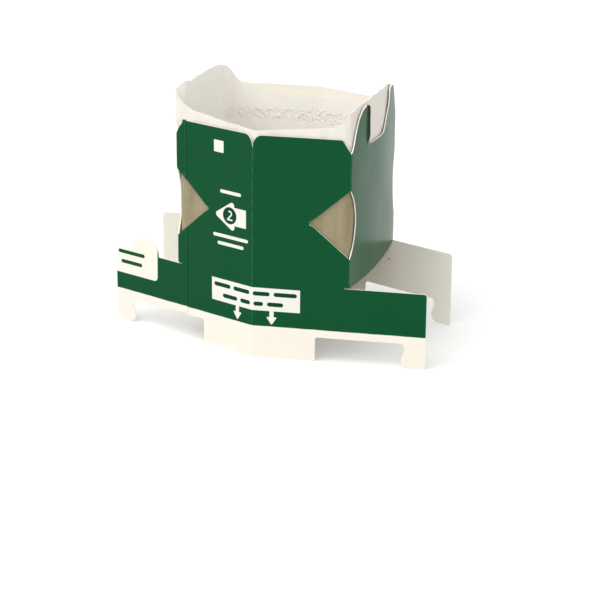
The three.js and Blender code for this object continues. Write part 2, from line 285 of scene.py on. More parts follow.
def side_top():
    """The side panel's upper edge from its front fold: horn, deep notch, horn."""
    front = curve_through(np.array([
        [0, 0], [0.13, 0.14], [0.28, 0.49], [0.46, 0.77], [0.65, 0.93], [0.86, 0.99], [0.95, 1],
        [1, 0.91], [1.01, 0.5], [1.05, 0.09], [1.17, 0], [1.41, -0.035],
    ]) * [HORN_WIDTH, HORN_RISE] + [0, HORN_BASE], 4)
    back = curve_through(np.array([
        [0, 0], [0.21, 0.33], [0.41, 0.66], [0.57, 0.89], [0.65, 0.93], [0.97, 0.93], [1.03, 0.87],
        [1.1, 0.57], [1.39, 0.29], [1.55, 0.09], [1.71, -0.03], [1.95, -0.057],
    ]) * [HORN_WIDTH, HORN_RISE] + [0, HORN_BASE], 4)
    return np.vstack([front, shifted(turned(back), SIDE)])


def half_notch():
    """Quarter of an ellipse from the top edge down to the front crease."""
    share = np.linspace(0, 1, 12)
    return np.stack([NOTCH_HALF * (1 - share), PANEL_TOP - NOTCH_DEPTH * (1 - np.sqrt(1 - share ** 2))], -1)


def blank_outline():
    """The whole blank, anticlockwise: tongues, legs and wings below, then the top edge backwards."""
    strip = half_strip()
    window_slope = WINDOW_HALF / WINDOW_REACH
    flap_window = WINDOW_HALF - (HALF_FRONT - FLAP_EDGE) * window_slope
    panel_window = WINDOW_HALF - (HALF_FRONT - PANEL_END) * window_slope
    panel_corner = HORN_BASE + (HALF_FRONT - PANEL_END) * (PANEL_TOP - HORN_BASE) / CORNER_WIDTH
    flap_edge = ROUND - FLAP_EDGE
    slit_middle = WING_TOP - SLIT
    return np.vstack([
        [[-PANEL_END, 0]],
        arc(-TONGUE_EDGE - SLOT_ROUND, -SLOT_ROUND, SLOT_ROUND, 90, 0),
        [[-TONGUE_EDGE, -LEG_DROP]],
        strip[1:],
        shifted(turned(strip), HALF_ROUND),
        shifted(strip[1:], HALF_ROUND),
        tab(TAB_GAP, WING_TOP)[::-1],
        [[ROUND - SLIT_START, WING_TOP], [ROUND - SLIT_START, slit_middle]],
        tab(0, slit_middle),
        [[ROUND - FLAP_WING_END, slit_middle]],
        shifted(turned(leg(FLAP_WING_END - FLAP_LEG_WIDTH, FLAP_WING_END, FLAP_FOOT_ROUND)), ROUND),
        [[flap_edge, FLAP_STEP], [flap_edge, WINDOW_MIDDLE - flap_window]],
        shifted(window_bite() * [-1, 1], ROUND - HALF_FRONT),
        [[flap_edge, WINDOW_MIDDLE + flap_window], [flap_edge, PANEL_TOP + FLAP_STEP]],
        [[ROUND - HALF_FRONT + CORNER_WIDTH, PANEL_TOP + FLAP_STEP]],
        shifted(side_top() * [-1, 1], ROUND - HALF_FRONT),
        [[HALF_ROUND + HALF_FRONT - CORNER_WIDTH, PANEL_TOP]],
        [[HALF_ROUND - HALF_FRONT + CORNER_WIDTH, PANEL_TOP]],
        shifted(side_top()[::-1], HALF_FRONT),
        [[HALF_FRONT - CORNER_WIDTH, PANEL_TOP]],
        half_notch(), turned(half_notch())[1:],
        [[CORNER_WIDTH - HALF_FRONT, PANEL_TOP], [-PANEL_END, panel_corner]],
        [[-PANEL_END, WINDOW_MIDDLE + panel_window]],
        shifted(window_tip()[1:-1] * [-1, 1], -HALF_FRONT),
        [[-PANEL_END, WINDOW_MIDDLE - panel_window]],
    ])


def blank_windows():
    """The three windows that lie whole in the blank; the fourth is shared by the blank's two ends."""
    loop = np.vstack([window_tip(), window_bite()[1:-1]])
    return [shifted(loop, HALF_FRONT), shifted(loop * [-1, 1], HALF_ROUND - HALF_FRONT),
            shifted(loop, HALF_ROUND + HALF_FRONT)]


# The flat blank cut into triangles

def split_edges(loop, longest=RIM_STEP):
    """The closed loop with long edges split evenly, and repeated points left out."""
    after = np.roll(loop, -1, 0)
    size = np.hypot(*(after - loop).T)
    loop, after, size = loop[size > 1e-4], after[size > 1e-4], size[size > 1e-4]
    counts = np.ceil(size / longest).astype(int)
    start = np.repeat(loop, counts, 0)
    step = np.repeat((after - loop) / counts[:, None], counts, 0)
    order = np.arange(counts.sum()) - np.repeat(np.cumsum(counts) - counts, counts)
    return start + step * order[:, None]


def inside(points, loops):
    """Even-odd rule: inside is where a line to the right crosses the loops an odd number of times."""
    crossings = np.zeros(len(points), int)
    for loop in loops:
        after = np.roll(loop, -1, 0)
        rising = (loop[:, 1] > points[:, 1:2]) != (after[:, 1] > points[:, 1:2])
        height = np.where(after[:, 1] == loop[:, 1], 1, after[:, 1] - loop[:, 1])
        at = loop[:, 0] + (points[:, 1:2] - loop[:, 1]) * (after[:, 0] - loop[:, 0]) / height
        crossings += (rising & (points[:, :1] < at)).sum(1)
    return crossings % 2 == 1


def distance_to_cut(points, loops):
    """Distance from each point to the nearest sample on the cut edges."""
    samples = np.vstack([split_edges(loop, CUT_SAMPLE) for loop in loops])
    nearest = [np.hypot(*(part[:, None] - samples[None]).transpose(2, 0, 1)).min(1)
               for part in np.array_split(points, 24)]
    return np.concatenate(nearest)


def cut_blank():
    """Delaunay triangles of the blank: its cut edges, and a grid that is finer at the folds."""
    loops = [split_edges(loop) for loop in (blank_outline(), *blank_windows())]
    near_fold = np.arange(-FOLD_REACH, FOLD_REACH + FOLD_STEP / 2, FOLD_STEP)
    columns = [np.arange(-PANEL_END, ROUND - FLAP_EDGE, COLUMN_STEP)]
    columns += [fold + near_fold for fold in (0, HALF_ROUND, *FOLDS)]
    columns += [np.arange(CURL_START, CURL_END, CURL_STEP)]
    columns = np.unique(np.round(np.concatenate(columns), 3))
    rows = np.arange(-LEG_DROP, HORN_TOP, ROW_STEP)
    grid = np.stack(np.meshgrid(columns, rows), -1).reshape(-1, 2)
    grid = grid[inside(grid, loops)]
    grid = grid[distance_to_cut(grid, loops) > GRID_CLEAR]

    edges, first = [], 0
    for loop in loops:
        ring = first + np.arange(len(loop))
        edges += np.stack([ring, np.roll(ring, -1)], -1).tolist()
        first += len(loop)
    points = np.vstack([*loops, grid])
    found = delaunay_2d_cdt([Vector(point) for point in points], edges, [], 0, 1e-6, False)
    flat = np.array([list(point) for point in found[0]])
    triangles = np.array(found[2])
    centre = flat[triangles].mean(1)
    triangles = triangles[inside(centre, loops)]
    a, b, c = flat[triangles].transpose(1, 0, 2)
    turn = (b - a)[:, 0] * (c - a)[:, 1] - (b - a)[:, 1] * (c - a)[:, 0]
    triangles[turn < 0] = triangles[turn < 0][:, ::-1]
    used, triangles = np.unique(triangles, return_inverse=True)
    return flat[used], triangles.reshape(-1, 3), loops


def folded(flat, depth):
    """The blank's points in space: on the plan line at s, moved along its normal.

    The move is the flap's lift, a slight warp of two crossed waves and the horn's curl, less the
    depth. Card below the slit follows the straight lines of the strips, the rest the box.
    """
    s, z = flat.T
    hump = tab(TAB_GAP / 2, WING_TOP - SLIT / 2)[::-1]
    slit = np.interp(s, np.maximum.accumulate(hump[:, 0]), hump[:, 1], left=hump[0, 1], right=hump[-1, 1])
    in_strip = (z < slit)[:, None]
    turn = s / ROUND
    flap = turn > 0.75
    at_back = ((turn > 0.25) & ~flap)[:, None]
    box_at, box_out = BOX_LINE.read(s)
    front_at, front_out = FRONT_LINE.read(np.where(flap, s - ROUND, s))
    back_at, back_out = BACK_LINE.read(s)
    at = np.where(in_strip, np.where(at_back, back_at, front_at), box_at)
    out = np.where(in_strip, np.where(at_back, back_out, front_out), box_out)
    left_fold = ROUND - HALF_FRONT
    lift = FLAP_LIFT * np.where(z < slit, flap, soft_step(s, left_fold - 6, left_fold - 0.6))
    warp = (0.12 * np.sin(6 * math.pi * turn + 0.7) * np.sin(z / 17)
            + 0.08 * np.sin(14 * math.pi * turn + 2) * np.cos(z / 9))
    on_horn = (s < CURL_END + 2) * soft_step(z, HORN_BASE - 1, HORN_BASE + 4)
    curl = CURL * soft_step(s, CURL_START, CURL_END) * on_horn
    place = at + out * (lift + warp + curl - depth)[:, None]
    return np.column_stack([place, z])


# Meshes

def new_piece(name, points, faces, finishes, sharp=30):
    """A smooth mesh object at the origin from points in millimetres, with edges sharp past an angle."""
    mesh = bpy.data.meshes.new(name)
    mesh.from_pydata((np.asarray(points) * MM).tolist(), [], [list(face) for face in faces])
    mesh.polygons.foreach_set("use_smooth", np.ones(len(mesh.polygons), bool))
    for finish in finishes:
        mesh.materials.append(finish)
    mesh.set_sharp_from_angle(angle=math.radians(sharp))
    mesh.update()
    piece = bpy.data.objects.new(name, mesh)
    bpy.context.scene.collection.objects.link(piece)
    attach(piece, "root")
    return piece


def set_map(piece, flat):
    """UV map in metres on the flat piece."""
    layer = piece.data.uv_layers.new(name="flat")
    loops = np.empty(len(piece.data.loops), int)
    piece.data.loops.foreach_get("vertex_index", loops)
    layer.data.foreach_set("uv", (flat[loops] * MM).astype(np.float32).ravel())


def set_attribute(piece, name, values):
    """One number for each point, for the finishes to read."""
    attribute = piece.data.attributes.new(name, "FLOAT", "POINT")
    attribute.data.foreach_set("value", np.asarray(values, np.float32))


def boundary(triangles):
    """Directed edges that only one triangle has."""
    edges = np.concatenate([triangles[:, [0, 1]], triangles[:, [1, 2]], triangles[:, [2, 0]]])
    key = np.sort(edges, 1)
    _, first, count = np.unique(key, axis=0, return_index=True, return_counts=True)
    return edges[first[count == 1]]


def card_holder():
    """The folded card: outer skin, inner skin one card further in, and a strip along every cut."""
    flat, triangles, loops = cut_blank()
    count = len(flat)
    rim = boundary(triangles)
    strip = np.column_stack([rim[:, 1], rim[:, 0], rim[:, 0] + count, rim[:, 1] + count])
    points = np.vstack([folded(flat, 0), folded(flat, CARD)])
    faces = [*triangles.tolist(), *(triangles[:, ::-1] + count).tolist(), *strip.tolist()]
    piece = new_piece("card_holder", points, faces, [printed_card(), bare_card()])
    bare = np.ones(len(faces), int)
    bare[:len(triangles)] = 0
    # The cut edges of the curled horn and of the glue flap keep the print's colour in place of bare cream:
    # painted shade, so that they show no bright line
    at = flat[rim].mean(1)
    on_horn = (at[:, 1] > HORN_BASE) & (abs(at[:, 0] - CURL_END) < 2)
    on_flap = at[:, 0] > ROUND - FLAP_EDGE - 0.05
    bare[2 * len(triangles):][on_horn | on_flap] = 0
    piece.data.polygons.foreach_set("material_index", bare)
    set_map(piece, np.vstack([flat, flat]))
    cut = distance_to_cut(flat, loops)
    set_attribute(piece, "cut", np.minimum(np.concatenate([cut, cut]), CUT_REACH))
    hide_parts("holder")


def waves(s, z, seed, count, longest, shortest):
    """Sum of sine waves round the box and up it, with random phases and falling strength."""
    draw = np.random.default_rng(seed)
    total = np.zeros(np.broadcast(s, z).shape)
    for length in np.geomspace(longest, shortest, count):
        turns = max(1, round(ROUND / length * draw.uniform(0.7, 1.3)))
        rise = draw.uniform(-1, 1) / length
        phase = draw.uniform(0, 2 * math.pi)
        total += math.sqrt(length / longest) * np.sin(2 * math.pi * (turns * s / ROUND + rise * z) + phase)
    return total / count


def torn_edge(s):
    """Height of the bag's top edge: the panels' top, a share of the horns' rise and a fine fray.

    The share is read from straight stretches, raised by a bell curve beside the left front fold
    and smoothed over 3 mm.
    """
    front = [[0, 0.08], [0.5, 0.19], [0.82, 0.27], [0.92, 0.41], [1, 0.6]]
    side = [[0, 0.6], [0.1, 0.7], [0.5, 0.71], [0.78, 0.66], [0.9, 0.51], [1, 0.24]]
    back = [[0, 0.24], [0.15, -0.03], [0.45, -0.23], [1, -0.3]]
    stretches = [(0, HALF_FRONT, front), (HALF_FRONT, SIDE, side),
                 (HALF_ROUND - HALF_FRONT, HALF_FRONT, back)]
    at = np.concatenate([start + length * np.array(curve)[:, 0] for start, length, curve in stretches])
    share = np.concatenate([np.array(curve)[:, 1] for _, _, curve in stretches])
    folded_s = np.minimum(s, ROUND - s)
    from_rise = s - (ROUND - HALF_FRONT - CORNER_RISE_AT)
    level = np.interp(folded_s, at, share) + CORNER_RISE * np.exp(-(from_rise / CORNER_RISE_REACH) ** 2)
    smooth = rolling_mean(level, len(s) * 3 / ROUND, True)
    fray = waves(s, 0, seed=5, count=24, longest=6, shortest=0.9)
    return PANEL_TOP + HORN_RISE * smooth + FRAY * fray


def bag_width(z):
    """How wide the bag is at a height, as a share of the box: a pinched seam, then a round trough."""
    curve = np.array([[0, 0.035], [0.02, 0.09], [0.05, 0.2], [0.15, 0.34], [0.3, 0.5], [0.53, 0.7],
                      [0.77, 0.87], [0.95, 0.985], [1, 1]])
    share = np.clip((z - BAG_BOTTOM) / TROUGH_HEIGHT, 0, 1)
    fine = np.linspace(0, 1, 400)
    level = rolling_mean(np.interp(fine, curve[:, 0], curve[:, 1]), 24, False)
    return np.interp(share, fine, level)


def bag_wall(s, z, inset):
    """The plan line moved in by the inset and drawn towards the line between the creases by the width."""
    at, out = BAG_LINE.read(s)
    x = at[..., 0] - out[..., 0] * inset
    y = at[..., 1] - out[..., 1] * inset
    middle = -RACK * y / HALF_DEPTH
    return np.stack([middle + (x - middle) * bag_width(z), y, z], -1)


def grid_faces(rows, columns):
    """Quads of a grid that is closed round its columns."""
    row, column = np.meshgrid(np.arange(rows - 1), np.arange(columns), indexing="ij")
    after = (column + 1) % columns
    low, high = row * columns, (row + 1) * columns
    return np.stack([low + column, low + after, high + after, high + column], -1).reshape(-1, 4)


def filter_bag():
    """Two skins one cloth apart, from the pinched bottom seam to the torn top edge, joined at both.

    The outer skin is moved in from the plan line by an inset, the crumple, which is the size of a
    sum of sine waves, and a tuck at the front folds, and out by a bell curve at the left front fold.
    """
    columns = BAG_COLUMNS
    s = np.arange(columns) * ROUND / columns
    edge = torn_edge(s)
    low = BAG_BOTTOM + TROUGH_HEIGHT * np.linspace(0, 1, 30, endpoint=False) ** 1.5
    high = np.linspace(0, 1, 42)
    z = np.vstack([
        np.repeat(low[:, None], columns, 1),
        TROUGH_TOP + (edge - TROUGH_TOP) * high[:, None],
    ])
    s = np.broadcast_to(s, z.shape)
    beside = np.minimum(s, ROUND - s)
    gusset = (soft_step(beside, HALF_FRONT, HALF_FRONT + 8)
              * soft_step(HALF_ROUND - beside, HALF_FRONT, HALF_FRONT + 8))
    free = soft_step(z, PANEL_TOP - 6, HORN_TOP)
    crumple = np.abs(waves(s, z, seed=3, count=9, longest=46, shortest=7))
    crumple = crumple * (0.5 + 0.9 * gusset + 1.6 * free)
    tuck = np.exp(-((beside - HALF_FRONT) / 2.2) ** 2) * soft_step(z, TROUGH_TOP + 20, PANEL_TOP)
    at_left_fold = np.exp(-((s - ROUND + HALF_FRONT) / SPREAD_REACH) ** 2)
    spread = SPREAD * at_left_fold * soft_step(z, HORN_BASE - 2, PANEL_TOP)
    outer = bag_wall(s, z, BAG_INSET + crumple + CORNER_TUCK * tuck - spread)

    across = np.roll(outer, -1, 1) - np.roll(outer, 1, 1)
    along = np.gradient(outer, axis=0)
    normal = np.cross(across, along)
    normal /= np.linalg.norm(normal, axis=-1, keepdims=True)
    wall = CLOTH * (0.3 + 0.7 * soft_step(bag_width(z), 0.03, 0.35))
    inner = outer - normal * wall[..., None]
    rows = len(z)
    count = rows * columns
    points = np.vstack([outer.reshape(-1, 3), inner.reshape(-1, 3),
                        outer[0].mean(0)[None], inner[0].mean(0)[None]])
    quads = grid_faces(rows, columns)
    ring = np.arange(columns)
    after = (ring + 1) % columns
    top = count - columns
    lip = np.stack([top + ring, top + after, count + top + after, count + top + ring], -1)
    floor_out = np.stack([after, ring, np.full(columns, 2 * count)], -1)
    floor_in = np.stack([count + ring, count + after, np.full(columns, 2 * count + 1)], -1)
    faces = [*quads.tolist(), *(quads[:, ::-1] + count).tolist(), *lip.tolist(),
             *floor_out.tolist(), *floor_in.tolist()]
    piece = new_piece("filter_bag_cloth", points, faces, [nonwoven_cloth()], sharp=50)
    flat = np.stack([s, z], -1).reshape(-1, 2)
    set_map(piece, np.vstack([flat, flat, [[0, 0], [0, 0]]]))
    set_attribute(piece, "outside", np.concatenate([np.ones(count), np.zeros(count), [1, 0]]))
    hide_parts("filter_bag")
    tube = [ROUND * MM, float(edge.max() - BAG_BOTTOM) * MM]


# Corners and faces of a small eight-sided grain
GRAIN_POINTS = np.array([[1, 0, 0], [-1, 0, 0], [0, 1, 0], [0, -1, 0], [0, 0, 1], [0, 0, -1]], float)
GRAIN_FACES = np.array([[0, 2, 4], [2, 1, 4], [1, 3, 4], [3, 0, 4],
                        [2, 0, 5], [1, 2, 5], [3, 1, 5], [0, 3, 5]])


def ground_coffee():
    """A bed that fills the trough with a low dome on top, and loose grains scattered over the dome.

    The dome falls with the square of the distance from its middle, and the sum of 24 sine waves
    with random directions roughens it. Each grain has its own place, size and random turn.
    """
    columns = COFFEE_COLUMNS
    s = np.arange(columns) * ROUND / columns
    levels = COFFEE_BOTTOM + (COFFEE_EDGE - COFFEE_BOTTOM) * np.linspace(0, 1, 16)
    side_z = np.repeat(levels[:, None], columns, 1)
    side = bag_wall(np.broadcast_to(s, side_z.shape), side_z, COFFEE_INSET)
    edge = side[-1]
    share = np.linspace(1, 0.02, 42)[1:, None]
    dome = np.empty((len(share), columns, 3))
    dome[..., :2] = edge[None, :, :2] * share[..., None]
    rough = 0.075 * sum(np.sin(dome[..., 0] * a + dome[..., 1] * b + c) for a, b, c in zip(
        rng.normal(0, 1.6, 24), rng.normal(0, 1.6, 24), rng.uniform(0, 6.28, 24)))
    dome[..., 2] = COFFEE_EDGE + COFFEE_MOUND * (1 - share ** 2) + rough * np.minimum(1, (1 - share) * 8)
    bed = np.vstack([side.reshape(-1, 3), dome.reshape(-1, 3)])
    rows = len(levels) + len(share)
    top, bottom = len(bed), len(bed) + 1
    bed = np.vstack([bed, dome[-1].mean(0)[None], side[0].mean(0)[None]])
    ring = np.arange(columns)
    after = (ring + 1) % columns
    last = (rows - 1) * columns
    caps = np.vstack([np.stack([last + ring, last + after, np.full(columns, top)], -1),
                      np.stack([after, ring, np.full(columns, bottom)], -1)])

    pick = rng.integers(0, columns, GRAINS)
    reach = np.sqrt(rng.uniform(0, 0.93, GRAINS))
    level = COFFEE_EDGE + COFFEE_MOUND * (1 - reach ** 2) + rng.uniform(-0.12, 0.22, GRAINS)
    place = np.column_stack([edge[pick, :2] * reach[:, None], level])
    size = rng.uniform(GRAIN_SMALL, GRAIN_LARGE, (GRAINS, 1, 1)) * rng.uniform(0.6, 1.3, (GRAINS, 6, 1))
    spin = np.linalg.qr(rng.normal(size=(GRAINS, 3, 3)))[0]
    spin *= np.sign(np.linalg.det(spin))[:, None, None]
    grains = place[:, None] + (GRAIN_POINTS[None] * size) @ spin
    grain_faces = GRAIN_FACES[None] + 6 * np.arange(GRAINS)[:, None, None] + len(bed)
    points = np.vstack([bed, grains.reshape(-1, 3)])
    faces = [*grid_faces(rows, columns).tolist(), *caps.tolist(), *grain_faces.reshape(-1, 3).tolist()]
    piece = new_piece("ground_coffee_bed", points, faces, [coffee_grounds()], sharp=35)
    shade = np.concatenate([np.full(len(bed), 0.5), np.repeat(rng.uniform(0, 1, GRAINS), 6)])
    set_attribute(piece, "grain", shade)
    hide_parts("ground_coffee")


# Finishes

class Shade:
    """A socket in a node tree; arithmetic on it adds Math nodes, also with a number on the left."""

    def __init__(self, tree, socket):
        self.tree = tree
        self.socket = socket

    def math(self, operation, *values):
        """A Math node fed with the values."""
        node = self.tree.nodes.new("ShaderNodeMath")
        node.operation = operation
        for socket, value in zip(node.inputs, values):
            plug(self.tree, value, socket)
        return Shade(self.tree, node.outputs[0])

    def __add__(self, other):
        return self.math("ADD", self, other)

    __radd__ = __add__

    def __sub__(self, other):
        return self.math("SUBTRACT", self, other)

    def __rsub__(self, other):
        return self.math("SUBTRACT", other, self)

    def __mul__(self, other):
        return self.math("MULTIPLY", self, other)

    __rmul__ = __mul__

    def __truediv__(self, other):
        return self.math("DIVIDE", self, other)

    def __abs__(self):
        return self.math("ABSOLUTE", self)

    def __gt__(self, other):
        return self.math("GREATER_THAN", self, other)

    def __lt__(self, other):
        return self.math("LESS_THAN", self, other)

    def least(self, other):
        return self.math("MINIMUM", self, other)

    def most(self, other):
        return self.math("MAXIMUM", self, other)

    def held(self):
        """Held between 0 and 1."""
        return self.most(0).least(1)

    def root(self):
        return self.math("SQRT", self)


def plug(tree, value, socket):
    """Links a shade to a socket, or sets the socket to a number or colour."""
    if isinstance(value, Shade):
        tree.links.new(value.socket, socket)
    elif hasattr(value, "__len__") and socket.type == "RGBA":
        socket.default_value = (*value[:3], 1)
    else:
        socket.default_value = value


class Finish:
    """A material as it is being mixed."""

    def __init__(self, name):
        self.material = bpy.data.materials.new(name)
        self.material.use_nodes = True
        self.tree = self.material.node_tree
        self.tree.nodes.clear()

    def node(self, kind, settings=None, inputs=None, output=0):
        """Any node: its settings first, then the values or links of its sockets."""
        node = self.tree.nodes.new(kind)
        for key, value in (settings or {}).items():
            setattr(node, key, value)
        for key, value in (inputs or {}).items():
            plug(self.tree, value, node.inputs[key])
        return Shade(self.tree, node.outputs[output]) if node.outputs else None

    def mix(self, share, first, second):
        """The first colour at share 0 and the second at 1."""
        return self.node("ShaderNodeMix", {"data_type": "RGBA"}, {0: share, 6: first, 7: second}, output=2)

    def place(self):
        """The point in the object's own frame, in metres."""
        return self.node("ShaderNodeTexCoord", output=3)

    def number(self, name):
        """One number that the piece's points carry."""
        return self.node("ShaderNodeAttribute", {"attribute_name": name}, output=2)

    def flat(self):
        """Distance round the box and height, in millimetres, from the piece's own map."""
        uv = self.node("ShaderNodeUVMap", {"uv_map": "flat"})
        split = {"Vector": uv}
        return (self.node("ShaderNodeSeparateXYZ", inputs=split, output=0) * 1000,
                self.node("ShaderNodeSeparateXYZ", inputs=split, output=1) * 1000)

    def noise(self, size, detail=3.0, roughness=0.55, place=None):
        """Noise with features of about the given size in millimetres, from 0 to 1."""
        return self.node("ShaderNodeTexNoise", None, {
            "Vector": self.place() if place is None else place, "Scale": 1 / (size * MM),
            "Detail": detail, "Roughness": roughness})

    def bump(self, height, depth):
        """Bump from a height of 0 to 1, which stands for the depth in millimetres."""
        return self.node("ShaderNodeBump", None, {
            "Height": height, "Distance": depth * MM, "Strength": 1.0})

    def finished(self, **inputs):
        """Closes the material with the main shader."""
        sockets = {name.replace("_", " ").title().replace("Ior", "IOR"): value
                   for name, value in inputs.items()}
        shader = self.node("ShaderNodeBsdfPrincipled", None, sockets)
        self.node("ShaderNodeOutputMaterial", None, {"Surface": shader})
        return self.material


# Distances to the printed shapes: negative inside, in millimetres

def box_distance(u, z, left, right, low, high, corner=0.2):
    """Distance to a rectangle with round corners: overshoot past the corners' centres, less the radius."""
    across = abs(u - (left + right) / 2) - ((right - left) / 2 - corner)
    up = abs(z - (low + high) / 2) - ((high - low) / 2 - corner)
    return (across.most(0) * across.most(0) + up.most(0) * up.most(0)).root() - corner


def stroke_distance(u, z, start, end, half_width):
    """Distance to a round-ended stroke: from the point to its foot on the segment, less half the width."""
    along = (end[0] - start[0], end[1] - start[1])
    size = along[0] ** 2 + along[1] ** 2
    share = (((u - start[0]) * along[0] + (z - start[1]) * along[1]) / size).held()
    across = u - start[0] - share * along[0]
    up = z - start[1] - share * along[1]
    return (across * across + up * up).root() - half_width


def disc_distance(u, z, centre, radius):
    """Distance to a disc."""
    across, up = u - centre[0], z - centre[1]
    return (across * across + up * up).root() - radius


def rounded_triangle_distance(u, z, corners, radius):
    """Least distance to the strokes round the triangle and to the inside of its three edges."""
    inner = None
    edges = None
    for start, end in zip(corners, corners[1:] + corners[:1]):
        along = (end[0] - start[0], end[1] - start[1])
        size = math.hypot(*along)
        side = ((u - start[0]) * along[1] - (z - start[1]) * along[0]) / size
        inner = side if inner is None else inner.most(side)
        stroke = stroke_distance(u, z, start, end, radius)
        edges = stroke if edges is None else edges.least(stroke)
    return edges.least(inner)


def ink(distance, soft=0.12):
    """1 inside a shape and 0 outside, with a soft edge."""
    return (0.5 - distance / soft).held()


# Printed shapes in millimetres round the box from the front crease and up. Boxes are left, right,
# low and high; level bars are left, right and height, from one round end to the other.
LABEL = (-18.3, 16.9, 8.4, 16.7)
SQUARE = (-17.1, -12.8, 62.2, 66.4)
STEP_ARROW_BODY = (-8.8, -2.8, 37.05, 43.6)
STEP_ARROW_HEAD = [(-9.1, 44.2), (-15.3, 40.15), (-9.0, 36.3)]
STEP_DISC, STEP_DISC_RADIUS = (-10.1, 40.4), 3.05
DOWN_ARROWS = (-6.6, 6.9)
PANEL_BARS = ((-14.4, -5.0, 48.6), (-17.6, -1.9, 32.6), (-15.6, -3.9, 29.8))
LABEL_BARS = (
    (-17.2, -9.8, 14.5), (-8.4, -1.2, 14.5), (0.2, 6.2, 14.5), (7.6, 15.8, 14.5),
    (-13.3, -6.7, 10.8), (-5.3, -0.9, 10.8), (0.5, 3.9, 10.8), (5.3, 11.0, 10.8),
)
FLAP_PATCH = (-70, -43.8, 9.2, 34)
FLAP_BARS = ((-62.6, -49.9, 17.3), (-61.3, -51.2, 13.6))
PANEL_BAR_HALF, LABEL_BAR_HALF, FLAP_BAR_HALF = 0.6, 0.75, 0.7


def bars_distance(u, z, bars, half_width):
    """Least distance to the level bars."""
    nearest = None
    for left, right, height in bars:
        bar = stroke_distance(u, z, (left + half_width, height), (right - half_width, height), half_width)
        nearest = bar if nearest is None else nearest.least(bar)
    return nearest


def white_marks(u, z):
    """The print's plain white shapes on the front: label, square, arrows and bars."""
    shapes = box_distance(u, z, *LABEL).least(box_distance(u, z, *SQUARE))
    shapes = shapes.least(box_distance(u, z, *STEP_ARROW_BODY))
    shapes = shapes.least(rounded_triangle_distance(u, z, STEP_ARROW_HEAD, 1.0))
    for middle in DOWN_ARROWS:
        stem = box_distance(u, z, middle - 0.75, middle + 0.75, 5.8, 8.6)
        point = rounded_triangle_distance(
            u, z, [(middle + 1.45, 6.0), (middle - 1.45, 6.0), (middle, 3.8)], 0.25)
        shapes = shapes.least(stem).least(point)
    return ink(shapes.least(bars_distance(u, z, PANEL_BARS, PANEL_BAR_HALF)))


def green_marks(u, z):
    """What is green again inside the white shapes: the arrow's disc and the label's bars."""
    disc = disc_distance(u, z, STEP_DISC, STEP_DISC_RADIUS)
    return ink(disc.least(bars_distance(u, z, LABEL_BARS, LABEL_BAR_HALF)))


def step_number(u, z):
    """The figure 2 in the arrow's disc: an arc over the top, a slope and a foot."""
    across, up = u - STEP_DISC[0], z - STEP_DISC[1]
    half_line = 0.27
    ring = abs((across * across + (up - 0.75) * (up - 0.75)).root() - 0.78) - half_line
    ring = ring.most((0.75 - up - across * 1.1) * 0.7)
    slope = stroke_distance(across, up, (0.6, 0.25), (-0.95, -1.45), half_line)
    foot = stroke_distance(across, up, (-0.95, -1.5), (1.05, -1.5), half_line)
    return ink(ring.least(slope).least(foot))


# Linear colours
GREEN, PALE_GREEN = (0.0007, 0.0655, 0.0187), (0.0027, 0.0770, 0.0265)
DEEP_GREEN = (0.0012, 0.0480, 0.0150)
WORN_GREEN = (0.10, 0.24, 0.15)
SHADED_GREEN = (0.008, 0.018, 0.010)
CREAM, DARK_CREAM = (0.835, 0.785, 0.695), (0.79, 0.725, 0.61)
PAPER_WHITE = (0.77, 0.76, 0.71)
BARE_CREAM, BARE_DARK_CREAM = (0.95, 0.915, 0.83), (0.88, 0.83, 0.73)
SPECK_BROWN = (0.10, 0.07, 0.045)
CLOTH_INSIDE, CLOTH_INSIDE_DARK = (0.97, 0.945, 0.885), (0.89, 0.86, 0.785)
# Painted shade: the cloth's outside colours are a darker copy of its inside colours
CLOTH_OUTSIDE_SHADED, CLOTH_OUTSIDE_SHADED_DARK = (0.75, 0.715, 0.65), (0.66, 0.625, 0.55)
# Painted shade for the hollows of the crimped band
CLOTH_CRIMP_SHADE = (0.70, 0.675, 0.60)
CLOTH_TAN, CLOTH_BROWN = (0.345, 0.305, 0.195), (0.21, 0.165, 0.085)
COFFEE_DARK, COFFEE_LIGHT = (0.013, 0.006, 0.003), (0.13, 0.064, 0.030)

# Bare lower edge of the print, and how much higher it is on the flap's wing
BARE_EDGE, FLAP_BARE_EXTRA = 2.75, 0.3

# Half width of the worn creases, and how far wear reaches in from a cut
CREASE_HALF, WORN_REACH = 0.4, 0.45

# Height of the sealed band, crimped into the cloth and the front left panel
CRIMP_LEVEL = 59.6

# Small brown speck on the inside of the back right wing
SPECK, SPECK_RADIUS = (94.9, 10.9), 0.32


def crease(distance):
    """1 on a fold and falling to 0 at the crease's edge."""
    return (1 - abs(distance) / CREASE_HALF).held()


